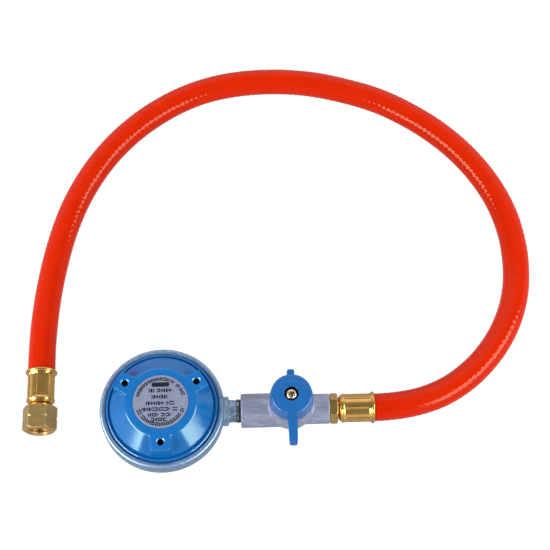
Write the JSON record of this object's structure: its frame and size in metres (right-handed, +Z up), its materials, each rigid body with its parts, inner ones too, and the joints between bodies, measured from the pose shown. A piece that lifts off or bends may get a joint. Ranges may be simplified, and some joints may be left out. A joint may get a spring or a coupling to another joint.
{
  "type": "gas regulator hose",
  "caption": "Round low-pressure gas regulator with an in-line on/off tap, a short orange hose in crimped brass ferrules and a brass swivel nut.",
  "frame": {"origin": "centre of the mouth of the cartridge socket, on the flat end of the inlet boss", "axes": "+Z up along the regulator's axis, +X along the outlet spigot towards the tap and the hose, +Y away from the tap handle's lever"},
  "size_m": [0.2949, 0.2594, 0.0471],
  "materials": {
    "regulator_casting": "die-cast, polished rolled rim, fine-grained spigot",
    "cover_paint": "gloss sky-blue enamel",
    "disc_metal": "matt silver",
    "diaphragm_rubber": "matt black",
    "plate_steel": "zinc-plated",
    "stem_brass": "turned",
    "spring_steel": "drawn wire",
    "lever_steel": "zinc-plated",
    "pin_steel": "turned",
    "pad_rubber": "matt black",
    "nozzle_brass": "turned",
    "probe_brass": "turned",
    "seal_rubber": "matt black",
    "ring_steel": "zinc-plated",
    "tap_casting": "matt grained casting",
    "plug_brass": "turned",
    "clip_steel": "phosphated",
    "handle_plastic": "satin royal blue",
    "washer_steel": "blackened",
    "screw_steel": "yellow-passivated",
    "fitting_brass": "turned hexagon bar",
    "ferrule_brass": "pressed and crimped",
    "hose_rubber": "gloss orange-red",
    "tail_brass": "turned",
    "nut_brass": "turned hexagon bar, slightly dull"
  },
  "bodies": {
    "regulator": {"regulator_body": "regulator_casting", "regulator_cover": "cover_paint", "rating_disc": "disc_metal", "diaphragm": "diaphragm_rubber", "main_spring": "spring_steel", "lever_pin": "pin_steel", "inlet_nozzle": "nozzle_brass", "cartridge_probe": "probe_brass", "cartridge_seal": "seal_rubber", "spigot_lock_ring": "ring_steel", "outlet_seal": "seal_rubber", "tap_body": "tap_casting", "plug_clip": "clip_steel", "outlet_fitting": "fitting_brass", "outlet_ferrule": "ferrule_brass", "hose": "hose_rubber", "end_ferrule": "ferrule_brass", "end_tail": "tail_brass"},
    "tap": {"tap_plug": "plug_brass", "plug_orings": "seal_rubber", "tap_handle": "handle_plastic", "handle_washer": "washer_steel", "handle_screw": "screw_steel"},
    "diaphragm_group": {"diaphragm_plate": "plate_steel", "diaphragm_stem": "stem_brass"},
    "lever": {"valve_lever": "lever_steel", "valve_pad": "pad_rubber"},
    "nut": {"swivel_nut": "nut_brass"}
  },
  "joints": [
    {"name": "tap_turn", "type": "hinge", "parent": "regulator", "child": "tap", "pos_m": [0.0714, 0, 0.018], "axis": [0, 0, 1], "range_deg": [0, 90]},
    {"name": "nut_spin", "type": "hinge", "parent": "regulator", "child": "nut", "pos_m": [-0.07, 0, 0.0108], "axis": [0, 1, 0], "continuous": true},
    {"name": "diaphragm_slide", "type": "slide", "parent": "regulator", "child": "diaphragm_group", "axis": [0, 0, 1], "range_m": [0, 0.0011], "stiffness_N_per_m": 1000, "springref_m": -0.006, "deforming": ["main_spring", "diaphragm"]},
    {"name": "lever_hinge", "type": "hinge", "parent": "regulator", "child": "lever", "pos_m": [-0.0115, 0, 0.0192], "axis": [0, -1, 0], "range_deg": [0, 5.5]}
  ],
  "couplings": [
    {"joint": "lever_hinge", "follows": "diaphragm_slide", "rad_per_m": 87.09}
  ]
}
